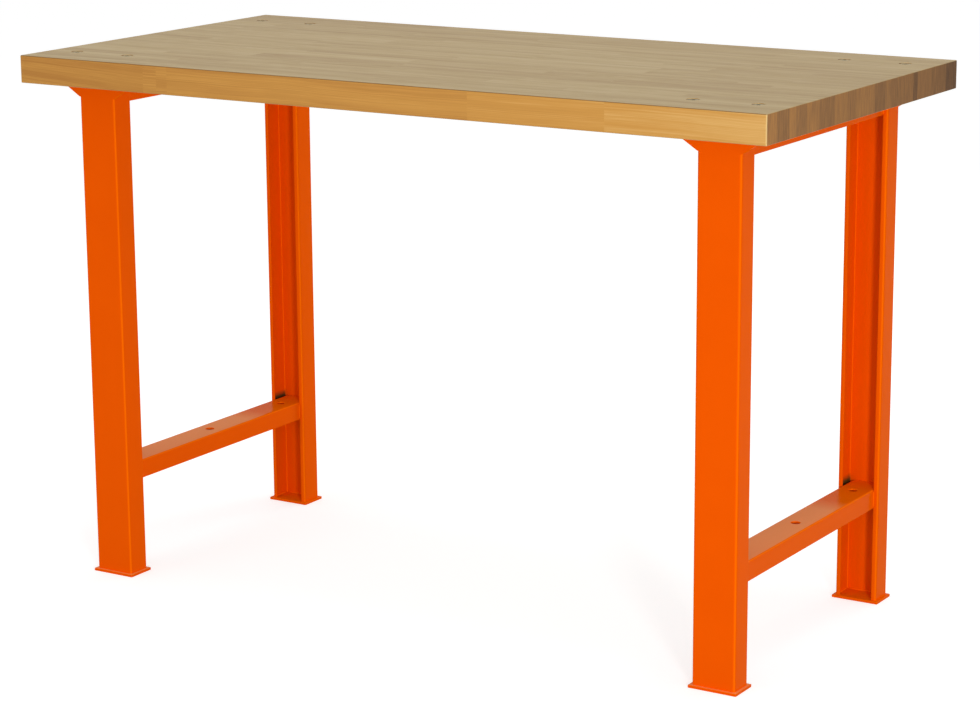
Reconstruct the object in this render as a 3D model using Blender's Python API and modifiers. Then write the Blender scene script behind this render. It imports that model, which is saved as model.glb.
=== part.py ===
"""Workbench: a thick laminated worktop bolted to two welded end frames of folded sheet steel.

Metres, +Z up. X runs along the worktop, Y from front to back, and Z = 0 is the floor.
Each end frame has a front and a rear post, whose open sides face each other, a stretcher
near the floor and a rail under the worktop. A flared bracket heads each post and carries
the worktop, and a plate foots it.
"""

import math

import bmesh
import bpy

# Worktop
TOP_LENGTH = 1.500
TOP_DEPTH = 0.750
TOP_THICKNESS = 0.050
TOP_EDGE_RADIUS = 0.002
BENCH_HEIGHT = 0.980

# Posts, lipped C sections folded from sheet
POST_WIDTH = 0.080
POST_DEPTH = 0.048
POST_SHEET = 0.003
POST_LIP = 0.009
POST_END_INSET = 0.077
POST_FACE_INSET = 0.070

# Every fold in the sheet
FOLD_INSIDE_RADIUS = 0.002
FOLD_SEGMENTS = 3

# Foot plates
FOOT_THICKNESS = 0.005
FOOT_OVERHANG = 0.005
FOOT_EDGE_RADIUS = 0.0006

# Flared brackets at the heads of the posts
BRACKET_SHEET = 0.003
BRACKET_SKIRT = 0.028
BRACKET_EAR_MARGIN = 0.027

# Stretchers and top rails, inverted U sections that pass between the posts' lips
RAIL_HEIGHT = 0.035
RAIL_SHEET = 0.0025
RAIL_SIDE_GAP = 0.0005
STRETCHER_CLEARANCE = 0.178
SHELF_HOLE_RADIUS = 0.0085
SHELF_HOLE_FROM_POST = 0.020

# Worktop bolts, with countersunk heads and hexagon sockets
BOLT_RADIUS = 0.005
BOLT_HEAD_RADIUS = 0.011
BOLT_HEAD_LAND = 0.0010
BOLT_RECESS = 0.0006
BOLT_END_PROJECTION = 0.001
BOLT_END_CHAMFER = 0.0010
BOLT_CLEARANCE = 0.0005
BOLT_FROM_POST = 0.018
BOLT_SETBACK = 0.020
SOCKET_RADIUS = 0.0035
SOCKET_DEPTH = 0.0035

# Washers and nuts
WASHER_RADIUS = 0.010
WASHER_THICKNESS = 0.002
NUT_RADIUS = 0.0098
NUT_THICKNESS = 0.008

# Fits
JOINT_GAP = 0.0003
CUT_MARGIN = 0.010
MERGE_DISTANCE = 0.00005
ROUND_STEPS = 24

# Places worked out from the sizes above
UNDERSIDE = BENCH_HEIGHT - TOP_THICKNESS
POST_CENTRE_X = TOP_LENGTH / 2 - POST_END_INSET - POST_WIDTH / 2
POST_FACE_Y = TOP_DEPTH / 2 - POST_FACE_INSET
BRACKET_TOP = UNDERSIDE - JOINT_GAP
BRACKET_UNDERSIDE = BRACKET_TOP - BRACKET_SHEET
BRACKET_FOLD_DEPTH = BRACKET_SHEET + FOLD_INSIDE_RADIUS
POST_BOTTOM = FOOT_THICKNESS + JOINT_GAP
POST_TOP = BRACKET_UNDERSIDE - JOINT_GAP
RAIL_WIDTH = POST_WIDTH - 2 * (POST_LIP + RAIL_SIDE_GAP)
STRETCHER_HALF_LENGTH = POST_FACE_Y - POST_SHEET - JOINT_GAP
TOP_RAIL_HALF_LENGTH = POST_FACE_Y - max(POST_SHEET, BRACKET_FOLD_DEPTH) - JOINT_GAP
STRETCHER_TOP = STRETCHER_CLEARANCE + RAIL_HEIGHT
BOLT_FROM_CENTRE = POST_WIDTH / 2 + BOLT_FROM_POST
BOLT_Y = POST_FACE_Y - BOLT_SETBACK
WASHER_TOP = BRACKET_UNDERSIDE - JOINT_GAP
NUT_TOP = WASHER_TOP - WASHER_THICKNESS - JOINT_GAP
BOLT_TOP = BENCH_HEIGHT - BOLT_RECESS
BOLT_END = NUT_TOP - NUT_THICKNESS - BOLT_END_PROJECTION

# The front left outer bolt, and the steps from it to the others
FIRST_BOLT = (-POST_CENTRE_X - BOLT_FROM_CENTRE, -BOLT_Y, 0.0)
BOLT_STEPS = ((2 * BOLT_FROM_CENTRE, 0, 0), (2 * POST_CENTRE_X, 0, 0), (0, 2 * BOLT_Y, 0))

SIDES = {"left": -1, "right": 1}
ENDS = {"front": -1, "rear": 1}
EARS = {"outer": 1, "inner": -1}


def clear_scene():
    """Removes every object that the scene starts with."""
    for obj in list(bpy.data.objects):
        bpy.data.objects.remove(obj, do_unlink=True)


def new_collection(name):
    """Adds a collection to the scene and returns it."""
    collection = bpy.data.collections.new(name)
    bpy.context.scene.collection.children.link(collection)
    return collection


def new_material(name, colour, roughness, metallic):
    """Returns a Principled BSDF material of one colour."""
    material = bpy.data.materials.new(name)
    material.use_nodes = True
    shader = material.node_tree.nodes["Principled BSDF"]
    shader.inputs["Base Color"].default_value = (*colour, 1.0)
    shader.inputs["Roughness"].default_value = roughness
    shader.inputs["Metallic"].default_value = metallic
    return material


def add_part(name, mesh, material, parent=None, location=(0, 0, 0), turn=0.0):
    """Puts a mesh into the part collection as a named object with its material."""
    mesh.materials.append(material)
    obj = bpy.data.objects.new(name, mesh)
    PARTS.objects.link(obj)
    obj.parent = parent
    obj.location = location
    obj.rotation_euler = (0, 0, turn)
    return obj


def add_cutter(name, mesh, location=(0, 0, 0)):
    """Puts a mesh into the cutter collection, as wire and out of the render."""
    obj = bpy.data.objects.new(name, mesh)
    CUTTERS.objects.link(obj)
    obj.location = location
    obj.display_type = "WIRE"
    obj.hide_render = True
    return obj


def add_end_frame(side):
    """Adds the empty that carries one end frame, on the floor under its middle."""
    empty = bpy.data.objects.new(f"{side}_end_frame", None)
    PARTS.objects.link(empty)
    empty.location = (SIDES[side] * POST_CENTRE_X, 0, 0)
    return empty


def mesh_from(name, bm):
    """Writes a bmesh to a new mesh and frees it."""
    mesh = bpy.data.meshes.new(name)
    bm.to_mesh(mesh)
    bm.free()
    return mesh


def box_mesh(name, low, high):
    """A box between two corners."""
    bm = bmesh.new()
    bmesh.ops.create_cube(bm, size=1.0)
    bmesh.ops.scale(bm, verts=bm.verts, vec=[b - a for a, b in zip(low, high)])
    bmesh.ops.translate(bm, verts=bm.verts, vec=[(a + b) / 2 for a, b in zip(low, high)])
    return mesh_from(name, bm)


def prism_mesh(name, radius, low, high, sides):
    """An upright prism or cylinder about Z, from height low to high."""
    bm = bmesh.new()
    bmesh.ops.create_cone(
        bm, cap_ends=True, segments=sides, radius1=radius, radius2=radius, depth=high - low
    )
    bmesh.ops.translate(bm, verts=bm.verts, vec=(0, 0, (low + high) / 2))
    return mesh_from(name, bm)


def strip_mesh(name, path, sweep):
    """An open strip of sheet: the points of a path, joined and swept along a vector.

    Seen against the sweep, with its tip towards the eye, the outside is on the path's left.
    """
    bm = bmesh.new()
    points = [bm.verts.new(point) for point in path]
    edges = [bm.edges.new(pair) for pair in zip(points, points[1:])]
    swept = bmesh.ops.extrude_edge_only(bm, edges=edges)["geom"]
    bmesh.ops.translate(bm, verts=[v for v in swept if isinstance(v, bmesh.types.BMVert)], vec=sweep)
    return mesh_from(name, bm)


def profile_mesh(name, points):
    """An open profile in the XZ plane, for turning about Z."""
    bm = bmesh.new()
    corners = [bm.verts.new((radius, 0, height)) for radius, height in points]
    for pair in zip(corners, corners[1:]):
        bm.edges.new(pair)
    return mesh_from(name, bm)


def round_edges(obj, radius, segments):
    """Rounds every edge that turns sharply."""
    bevel = obj.modifiers.new("rounded", "BEVEL")
    bevel.width = radius
    bevel.segments = segments


def fold_sheet(obj, thickness):
    """Rounds the folds of an open strip, whose faces are its outside, and thickens it inwards."""
    round_edges(obj, FOLD_INSIDE_RADIUS + thickness, FOLD_SEGMENTS)
    solidify = obj.modifiers.new("sheet", "SOLIDIFY")
    solidify.thickness = thickness
    solidify.offset = -1
    solidify.use_even_offset = True


def turn_profile(obj):
    """Turns a profile about the object's Z axis."""
    screw = obj.modifiers.new("turned", "SCREW")
    screw.steps = ROUND_STEPS
    screw.render_steps = ROUND_STEPS
    screw.use_merge_vertices = True
    screw.merge_threshold = MERGE_DISTANCE


def cut(obj, cutter):
    """Cuts one object with another."""
    boolean = obj.modifiers.new(f"cut_{cutter.name}", "BOOLEAN")
    boolean.operation = "DIFFERENCE"
    boolean.solver = "EXACT"
    boolean.object = cutter


def repeat(obj, step, count=2):
    """Repeats an object's solids in equal steps."""
    array = obj.modifiers.new("repeated", "ARRAY")
    array.use_relative_offset = False
    array.use_constant_offset = True
    array.constant_offset_displace = step
    array.count = count


def repeat_at_bolts(cutter):
    """Repeats the cutter at the first bolt's place at all the others."""
    for step in BOLT_STEPS:
        repeat(cutter, step)


def make_bolt_bores():
    """Countersunk bores through worktop and bracket ears, one at each bolt."""
    head = BOLT_HEAD_RADIUS + BOLT_CLEARANCE
    shank = BOLT_RADIUS + BOLT_CLEARANCE
    land = BOLT_TOP - BOLT_HEAD_LAND
    profile = [
        (0, BENCH_HEIGHT + CUT_MARGIN),
        (head, BENCH_HEIGHT + CUT_MARGIN),
        (head, land),
        (shank, land - (head - shank)),
        (shank, BRACKET_UNDERSIDE - CUT_MARGIN),
        (0, BRACKET_UNDERSIDE - CUT_MARGIN),
    ]
    bores = add_cutter("bolt_bores", profile_mesh("bolt_bores", profile), FIRST_BOLT)
    turn_profile(bores)
    repeat_at_bolts(bores)
    return bores


def make_shelf_holes():
    """Holes down through the stretchers: one at the middle and one by each post."""
    low = STRETCHER_TOP - RAIL_SHEET - CUT_MARGIN
    mesh = prism_mesh("shelf_holes", SHELF_HOLE_RADIUS, low, STRETCHER_TOP + CUT_MARGIN, ROUND_STEPS)
    pitch = POST_FACE_Y - POST_DEPTH - SHELF_HOLE_FROM_POST
    holes = add_cutter("shelf_holes", mesh, (-POST_CENTRE_X, -pitch, 0))
    repeat(holes, (0, pitch, 0), 3)
    repeat(holes, (2 * POST_CENTRE_X, 0, 0))
    return holes


def make_head_notches():
    """Room at the head of each post's face for its bracket's skirt."""
    half = POST_WIDTH / 2 + CUT_MARGIN
    low = (-half, -CUT_MARGIN, BRACKET_TOP - BRACKET_SKIRT - JOINT_GAP)
    high = (half, BRACKET_FOLD_DEPTH + JOINT_GAP, POST_TOP + CUT_MARGIN)
    notches = {}
    for end, sign in ENDS.items():
        mesh = box_mesh(f"{end}_head_notches", low, high)
        notches[end] = add_cutter(mesh.name, mesh, (-POST_CENTRE_X, sign * POST_FACE_Y, 0))
        notches[end].rotation_euler = (0, 0, facing(end))
        repeat(notches[end], (-sign * 2 * POST_CENTRE_X, 0, 0))
    return notches


def facing(end):
    """The turn about Z that makes a piece's face look outwards at the front or at the rear."""
    return 0.0 if end == "front" else math.pi


def make_worktop(bores):
    """The glued panel, with eased edges and countersunk bolt holes."""
    half_length = TOP_LENGTH / 2
    half_depth = TOP_DEPTH / 2
    mesh = box_mesh(
        "worktop", (-half_length, -half_depth, UNDERSIDE), (half_length, half_depth, BENCH_HEIGHT)
    )
    worktop = add_part("worktop", mesh, BEECH)
    round_edges(worktop, TOP_EDGE_RADIUS, 2)
    cut(worktop, bores)


def make_post(side, end, frame, notch):
    """One lipped C section, its web outwards, cut away at the head for the bracket's skirt."""
    half = POST_WIDTH / 2
    outline = [
        (half - POST_LIP, POST_DEPTH),
        (half, POST_DEPTH),
        (half, 0),
        (-half, 0),
        (-half, POST_DEPTH),
        (POST_LIP - half, POST_DEPTH),
    ]
    path = [(x, y, POST_BOTTOM) for x, y in outline]
    name = f"{end}_{side}_post"
    mesh = strip_mesh(name, path, (0, 0, POST_TOP - POST_BOTTOM))
    post = add_part(name, mesh, ORANGE, frame, (0, ENDS[end] * POST_FACE_Y, 0), facing(end))
    fold_sheet(post, POST_SHEET)
    cut(post, notch)


def make_foot_plate(side, end, frame):
    """The flat plate that one post stands on."""
    half = POST_WIDTH / 2 + FOOT_OVERHANG
    low = (-half, -FOOT_OVERHANG, 0)
    high = (half, POST_DEPTH + FOOT_OVERHANG, FOOT_THICKNESS)
    name = f"{end}_{side}_foot_plate"
    location = (0, ENDS[end] * POST_FACE_Y, 0)
    plate = add_part(name, box_mesh(name, low, high), ORANGE, frame, location, facing(end))
    round_edges(plate, FOOT_EDGE_RADIUS, 1)


def make_top_bracket(side, end, frame, bores):
    """One head bracket: a plate with an ear on either side, and a skirt that tapers to the post."""
    ear = BOLT_FROM_CENTRE + BRACKET_EAR_MARGIN
    foot = POST_WIDTH / 2
    name = f"{end}_{side}_top_bracket"
    bm = bmesh.new()
    fold = bm.edges.new([bm.verts.new((x, 0, BRACKET_TOP)) for x in (ear, -ear)])
    plate = bmesh.ops.extrude_edge_only(bm, edges=[fold])["geom"]
    skirt = bmesh.ops.extrude_edge_only(bm, edges=[fold])["geom"]
    plate_edge = [v for v in plate if isinstance(v, bmesh.types.BMVert)]
    skirt_edge = [v for v in skirt if isinstance(v, bmesh.types.BMVert)]
    bmesh.ops.translate(bm, verts=plate_edge, vec=(0, POST_DEPTH, 0))
    bmesh.ops.scale(bm, verts=skirt_edge, vec=(foot / ear, 1, 1))
    bmesh.ops.translate(bm, verts=skirt_edge, vec=(0, 0, -BRACKET_SKIRT))
    location = (0, ENDS[end] * POST_FACE_Y, 0)
    bracket = add_part(name, mesh_from(name, bm), ORANGE, frame, location, facing(end))
    fold_sheet(bracket, BRACKET_SHEET)
    cut(bracket, bores)


def make_cross_rail(name, frame, half_length, top):
    """One inverted U section from front to rear, its flat side up."""
    half = RAIL_WIDTH / 2
    outline = [(half, top - RAIL_HEIGHT), (half, top), (-half, top), (-half, top - RAIL_HEIGHT)]
    path = [(x, -half_length, z) for x, z in outline]
    rail = add_part(name, strip_mesh(name, path, (0, 2 * half_length, 0)), ORANGE, frame)
    fold_sheet(rail, RAIL_SHEET)
    return rail


def make_end_frame(side, bores, holes, notches):
    """One welded end frame: posts, feet, brackets, stretcher and top rail."""
    frame = add_end_frame(side)
    for end in ENDS:
        make_post(side, end, frame, notches[end])
        make_foot_plate(side, end, frame)
        make_top_bracket(side, end, frame, bores)
    stretcher = make_cross_rail(f"{side}_stretcher", frame, STRETCHER_HALF_LENGTH, STRETCHER_TOP)
    cut(stretcher, holes)
    make_cross_rail(f"{side}_top_rail", frame, TOP_RAIL_HALF_LENGTH, POST_TOP)
    return frame


def make_bolt(name, frame, location, socket):
    """One countersunk bolt with a hexagon socket, down through worktop and bracket ear."""
    land = BOLT_TOP - BOLT_HEAD_LAND
    profile = [
        (0, BOLT_TOP),
        (BOLT_HEAD_RADIUS, BOLT_TOP),
        (BOLT_HEAD_RADIUS, land),
        (BOLT_RADIUS, land - (BOLT_HEAD_RADIUS - BOLT_RADIUS)),
        (BOLT_RADIUS, BOLT_END + BOLT_END_CHAMFER),
        (BOLT_RADIUS - BOLT_END_CHAMFER, BOLT_END),
        (0, BOLT_END),
    ]
    bolt = add_part(name, profile_mesh(name, profile), DARK_STEEL, frame, location)
    turn_profile(bolt)
    cut(bolt, socket)


def make_washer(name, frame, location):
    """One flat washer under a bracket ear."""
    bore = BOLT_RADIUS + BOLT_CLEARANCE
    low = WASHER_TOP - WASHER_THICKNESS
    profile = [
        (bore, WASHER_TOP),
        (WASHER_RADIUS, WASHER_TOP),
        (WASHER_RADIUS, low),
        (bore, low),
        (bore, WASHER_TOP),
    ]
    turn_profile(add_part(name, profile_mesh(name, profile), ZINC, frame, location))


def make_nut(name, frame, location, thread):
    """One hexagon nut on the end of a bolt."""
    mesh = prism_mesh(name, NUT_RADIUS, NUT_TOP - NUT_THICKNESS, NUT_TOP, 6)
    cut(add_part(name, mesh, ZINC, frame, location), thread)


def make_bolt_sockets():
    """The hexagon socket in each bolt's head."""
    low = BOLT_TOP - SOCKET_DEPTH
    mesh = prism_mesh("bolt_sockets", SOCKET_RADIUS, low, BOLT_TOP + CUT_MARGIN, 6)
    sockets = add_cutter("bolt_sockets", mesh, FIRST_BOLT)
    repeat_at_bolts(sockets)
    return sockets


def make_nut_threads():
    """The threaded bore through each nut."""
    low = NUT_TOP - NUT_THICKNESS - CUT_MARGIN
    mesh = prism_mesh("nut_threads", BOLT_RADIUS + JOINT_GAP, low, NUT_TOP + CUT_MARGIN, ROUND_STEPS)
    threads = add_cutter("nut_threads", mesh, FIRST_BOLT)
    repeat_at_bolts(threads)
    return threads


def make_fasteners(side, frame, sockets, threads):
    """The bolts, washers and nuts of one end frame, two to a bracket."""
    for end, y_sign in ENDS.items():
        for ear, x_sign in EARS.items():
            place = f"{end}_{side}_{ear}"
            location = (SIDES[side] * x_sign * BOLT_FROM_CENTRE, y_sign * BOLT_Y, 0)
            make_bolt(f"{place}_bolt", frame, location, sockets)
            make_washer(f"{place}_washer", frame, location)
            make_nut(f"{place}_nut", frame, location, threads)


def main():
    """Builds the bench."""
    bores = make_bolt_bores()
    holes = make_shelf_holes()
    notches = make_head_notches()
    sockets = make_bolt_sockets()
    threads = make_nut_threads()
    make_worktop(bores)
    for side in SIDES:
        frame = make_end_frame(side, bores, holes, notches)
        make_fasteners(side, frame, sockets, threads)


clear_scene()
PARTS = new_collection("workbench")
CUTTERS = new_collection("workbench_cutters")
BEECH = new_material("beech", (0.52, 0.36, 0.19), 0.40, 0.0)
ORANGE = new_material("orange_powder_coat", (0.80, 0.10, 0.002), 0.30, 0.0)
DARK_STEEL = new_material("dark_steel", (0.05, 0.05, 0.055), 0.45, 1.0)
ZINC = new_material("zinc_plate", (0.62, 0.63, 0.64), 0.35, 1.0)
main()
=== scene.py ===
"""The looks of a workbench: a laminated beech worktop on two welded, powder-coated end frames.

Metres, +Z up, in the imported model's frame: X runs along the worktop, Y from front to back.
Each class is one sub-assembly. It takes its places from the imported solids, works its surfaces
out as whole arrays and dresses them in one of the finishes.
"""

import logging
import math
from dataclasses import dataclass, field
from enum import Enum
from typing import ClassVar, Sequence

import bpy
import numpy as np
import numpy.typing as npt
from mathutils import Matrix, Vector


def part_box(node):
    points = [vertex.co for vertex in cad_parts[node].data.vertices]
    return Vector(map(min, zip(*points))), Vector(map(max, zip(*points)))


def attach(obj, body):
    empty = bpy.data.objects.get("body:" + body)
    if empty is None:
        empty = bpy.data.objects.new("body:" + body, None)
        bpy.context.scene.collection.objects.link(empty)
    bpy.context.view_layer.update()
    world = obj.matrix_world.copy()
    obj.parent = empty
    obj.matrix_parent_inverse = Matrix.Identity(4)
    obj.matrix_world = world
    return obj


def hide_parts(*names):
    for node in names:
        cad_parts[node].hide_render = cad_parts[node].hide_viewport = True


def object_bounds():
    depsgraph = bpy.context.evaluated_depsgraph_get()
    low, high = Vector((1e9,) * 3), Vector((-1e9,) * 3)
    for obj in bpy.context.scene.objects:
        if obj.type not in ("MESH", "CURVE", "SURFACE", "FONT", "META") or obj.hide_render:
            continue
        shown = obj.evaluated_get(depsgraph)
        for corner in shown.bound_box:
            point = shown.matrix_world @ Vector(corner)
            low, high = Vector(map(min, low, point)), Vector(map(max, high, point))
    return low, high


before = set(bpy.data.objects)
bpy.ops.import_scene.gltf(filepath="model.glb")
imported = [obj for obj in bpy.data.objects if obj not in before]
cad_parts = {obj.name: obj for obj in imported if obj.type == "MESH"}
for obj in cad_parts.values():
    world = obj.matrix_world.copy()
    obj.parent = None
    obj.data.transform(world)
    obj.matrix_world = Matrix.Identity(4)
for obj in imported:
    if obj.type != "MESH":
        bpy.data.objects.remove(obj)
CAD_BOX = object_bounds()
LOG = logging.getLogger("workbench")

Points = npt.NDArray[np.float64]
Span = tuple[float, float]
Triple = tuple[float, float, float]
Socket = bpy.types.NodeSocket
Feed = Socket | float | tuple[float, ...]

BODY = "root"
ALONG, ACROSS, UP = np.eye(3)
CUT_MARGIN = 0.010
SAME_POINT = 1e-7
SHARP_ANGLE = math.radians(40)
QUARTER = np.linspace(0, math.pi / 2, 7)
ROUND = np.linspace(0, 2 * math.pi, 48, endpoint=False)
RISING = (0.0, 1.0)
FALLING = (1.0, 0.0)
WHITE = (1.0, 1.0, 1.0)


class Slot(Enum):
    """The record's material slots."""

    BEECH = "beech"
    ORANGE = "orange_powder_coat"
    DARK_STEEL = "dark_steel"
    ZINC = "zinc_plate"


class Side(Enum):
    """The two end frames."""

    LEFT = "left"
    RIGHT = "right"


class End(Enum):
    """The front and the rear of an end frame, with their sign along Y."""

    FRONT = -1
    REAR = 1


class Ear(Enum):
    """A bracket's two ears, of which the outer one is nearer the worktop's end."""

    OUTER = "outer"
    INNER = "inner"


def node_name(*words: Enum | str) -> str:
    """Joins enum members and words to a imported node's name."""
    return "_".join(word.name.lower() if isinstance(word, Enum) else word for word in words)


def faces_of(node: str, end: End) -> Span:
    """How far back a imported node's outer and inner face lie, as seen from the bench's middle."""
    low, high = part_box(node)
    return (low.y, high.y) if end is End.FRONT else (high.y, low.y)


# Surfaces


@dataclass(frozen=True)
class Outline:
    """A run of points in a plane, counter-clockwise round a shape, with the outward normal at each."""

    points: Points
    normals: Points


@dataclass(frozen=True)
class Surface:
    """A surface: one row for each point, and each face as a ring of point numbers."""

    points: Points
    faces: list[list[int]]

    @classmethod
    def lofted(cls, rings: Points, ring_shut: bool = False) -> "Surface":
        """Joins equal rings of points into a tube.

        Point (i, j) is joined to (i + 1, j) and (i, j + 1), with j taken round the ring. The faces
        point outwards where each ring runs counter-clockwise, seen from the last ring's side.

        Args:
            rings: Points of the shape (rings, points in a ring, 3).
            ring_shut: Whether the last ring joins the first. Otherwise a face closes either end.

        Returns:
            The closed tube.
        """
        rows, count, _ = rings.shape
        row, column = np.meshgrid(np.arange(rows - (not ring_shut)), np.arange(count), indexing="ij")
        next_row = (row + 1) % rows * count
        next_column = (column + 1) % count
        row = row * count
        corners = (row + column, row + next_column, next_row + next_column, next_row + column)
        faces = np.stack(corners, axis=-1).reshape(-1, 4).tolist()
        if not ring_shut:
            faces.append(list(range(count))[::-1])
            faces.append(list(range((rows - 1) * count, rows * count)))
        return cls(rings.reshape(-1, 3), faces)

    @classmethod
    def joined(cls, surfaces: Sequence["Surface"]) -> "Surface":
        """Puts several surfaces into one.

        Args:
            surfaces: The surfaces, which stay separate bodies.

        Returns:
            One surface that holds them all.
        """
        faces: list[list[int]] = []
        start = 0
        for surface in surfaces:
            faces += [[number + start for number in face] for face in surface.faces]
            start += len(surface.points)
        return cls(np.concatenate([surface.points for surface in surfaces]), faces)

    def moved(self, place: Sequence[float]) -> "Surface":
        """The same surface, shifted by a vector."""
        return Surface(self.points + np.asarray(place, float), self.faces)

    def stood(self, node: str, end: End) -> "Surface":
        """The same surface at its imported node's outer face, turned half round about Z at the rear."""
        place = (sum(corner.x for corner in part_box(node)) / 2, faces_of(node, end)[0], 0.0)
        return Surface(self.points * (-end.value, -end.value, 1.0), self.faces).moved(place)

    def piece(self, name: str) -> bpy.types.Object:
        """Makes an object of the surface.

        Args:
            name: The object's name.

        Returns:
            The new object, linked to the scene.
        """
        mesh = bpy.data.meshes.new(name)
        mesh.from_pydata(self.points.tolist(), [], self.faces)
        mesh.update()
        obj = bpy.data.objects.new(name, mesh)
        bpy.context.scene.collection.objects.link(obj)
        return obj


def arc(centre: Points, radius: float, start: Points, towards: Points) -> Outline:
    """A quarter circle: at angle a the point lies a radius along start * cos a + towards * sin a."""
    normals = np.outer(np.cos(QUARTER), start) + np.outer(np.sin(QUARTER), towards)
    return Outline(centre + radius * normals, normals)


def chained(runs: Sequence[Outline]) -> Outline:
    """Puts runs of points end to end."""
    return Outline(np.concatenate([r.points for r in runs]), np.concatenate([r.normals for r in runs]))


def rounded_rectangle(low: Sequence[float], high: Sequence[float], radius: float) -> Outline:
    """A rectangle whose four corners are quarter circles, counter-clockwise.

    Args:
        low: The lower corner in the plane.
        high: The upper corner in the plane.
        radius: The corners' radius.

    Returns:
        The outline.
    """
    inner_low = np.asarray(low, float) + radius
    inner_high = np.asarray(high, float) - radius
    signs = np.array([[1, -1], [1, 1], [-1, 1], [-1, -1]])
    starts = np.array([[0, -1], [1, 0], [0, 1], [-1, 0]])
    towards = np.roll(starts, -1, axis=0)
    centres = np.where(signs > 0, inner_high, inner_low)
    return chained([arc(c, radius, s, t) for c, s, t in zip(centres, starts, towards)])


@dataclass(frozen=True)
class Sheet:
    """Folded sheet steel: its thickness, the radius inside its folds and of its painted edges."""

    thickness: float
    fold: float = 0.002
    edge: float = 0.0005

    def folded(self, corners: Sequence[Span]) -> Outline:
        """The section of a strip that is folded at each inner corner of a path.

        The path is the sheet's outside, with the sheet on its left. Each fold is a quarter circle of
        the inside radius plus the thickness, and the inner line lies one thickness inside the outer.
        Both ends of the strip are rounded with the edge radius.

        Args:
            corners: The path's points in the section's plane. It turns left by 90 degrees at each.

        Returns:
            The closed outline of the section.
        """
        path = np.asarray(corners, float)
        steps = np.diff(path, axis=0)
        ways = steps / np.linalg.norm(steps, axis=1)[:, None]
        outs = np.stack([ways[:, 1], -ways[:, 0]], axis=1)
        radius = self.fold + self.thickness
        start = path[0] + self.edge * ways[0]
        stop = path[-1] - self.edge * ways[-1]
        folds = [
            arc(corner - radius * (way + out), radius, out, way)
            for corner, way, out in zip(path[1:-1], ways, outs)
        ]
        outer = chained([Outline(start[None], outs[:1]), *folds, Outline(stop[None], outs[-1:])])
        inner = Outline((outer.points - self.thickness * outer.normals)[::-1], -outer.normals[::-1])
        deep = self.thickness - self.edge
        way, out = ways[-1], outs[-1]
        last = [
            arc(stop - self.edge * out, self.edge, out, way),
            arc(stop - deep * out, self.edge, way, -out),
        ]
        way, out = ways[0], outs[0]
        first = [
            arc(start - deep * out, self.edge, -out, -way),
            arc(start - self.edge * out, self.edge, -way, out),
        ]
        whole = chained([outer, *last, inner, *first])
        step = np.linalg.norm(whole.points - np.roll(whole.points, 1, axis=0), axis=1)
        return Outline(whole.points[step > SAME_POINT], whole.normals[step > SAME_POINT])


def carried(
    section: Outline, across: Points, upward: Points, start: float, stop: float, edge: float = 0.0
) -> Surface:
    """A section carried straight along the normal of its plane, with rounded ends.

    The normal is the cross product of the plane's two directions. At angle a from an end's face the
    ring is drawn in along its normals by edge * (1 - cos a) and lies edge * (1 - sin a) behind the end.

    Args:
        section: The outline that is carried.
        across: The plane's first direction.
        upward: The plane's second direction.
        start: Where the first end lies along the plane's normal.
        stop: Where the other end lies.
        edge: The radius that rounds both ends.

    Returns:
        The closed bar.
    """
    angle = QUARTER[::-1] if edge else np.zeros(1)
    inset = edge * (1 - np.cos(angle))
    behind = edge * (1 - np.sin(angle))
    inset = np.concatenate([inset, inset[::-1]])[:, None, None]
    along = np.concatenate([start + behind, (stop - behind)[::-1]])[:, None, None]
    flat = section.points[None] - inset * section.normals[None]
    normal = np.cross(across, upward)
    return Surface.lofted(flat[..., :1] * across + flat[..., 1:] * upward + along * normal)


def slab(low: Vector, high: Vector, corner: float, edge: float) -> Surface:
    """A rounded rectangle carried upwards between two corners, its arrises rounded by the edge radius."""
    return carried(rounded_rectangle(low[:2], high[:2], corner), ALONG, ACROSS, low[2], high[2], edge)


def around(values: Sequence[float]) -> Points:
    """Values that hold all the way round: a row for each value and a column for each angle."""
    return np.outer(values, np.ones_like(ROUND))


def polar(radius: Points, height: Points, ring_shut: bool = False) -> Surface:
    """A body about Z, from a row for each ring: at angle a the point is (r cos a, r sin a, z)."""
    rings = np.stack([radius * np.cos(ROUND), radius * np.sin(ROUND), height], axis=-1)
    return Surface.lofted(rings, ring_shut)


def turned(profile: Sequence[Span], ring_shut: bool = False) -> Surface:
    """A profile, given as radius and height of each point, turned about Z."""
    radius, height = np.asarray(profile, float).T
    return polar(around(radius), around(height), ring_shut)


def hexagon_radius(apothem: float) -> Points:
    """The distance from a hexagon's middle to its side: the apothem over the cosine off the flat."""
    off_flat = (ROUND + math.pi / 6) % (math.pi / 3) - math.pi / 6
    return apothem / np.cos(off_flat)


def cut_away(piece: bpy.types.Object, cutter: Surface) -> None:
    """Takes a volume out of a piece and keeps the result as the piece's own mesh.

    Args:
        piece: The object that is cut.
        cutter: The closed surface of what is taken away.
    """
    tool = cutter.piece("cutter")
    modifier = piece.modifiers.new("cut", "BOOLEAN")
    modifier.object = tool
    evaluated = piece.evaluated_get(bpy.context.evaluated_depsgraph_get())
    whole, cut = piece.data, bpy.data.meshes.new_from_object(evaluated)
    piece.modifiers.clear()
    piece.data = cut
    cut.name = piece.name
    bpy.data.meshes.remove(whole)
    bpy.data.objects.remove(tool)


# Finishes


@dataclass(frozen=True)
class Marks:
    """Soft random marks: how many lie in a metre along each axis, and how far they break up."""

    per_metre: Triple
    detail: float = 2.0
    roughness: float = 0.5


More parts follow.
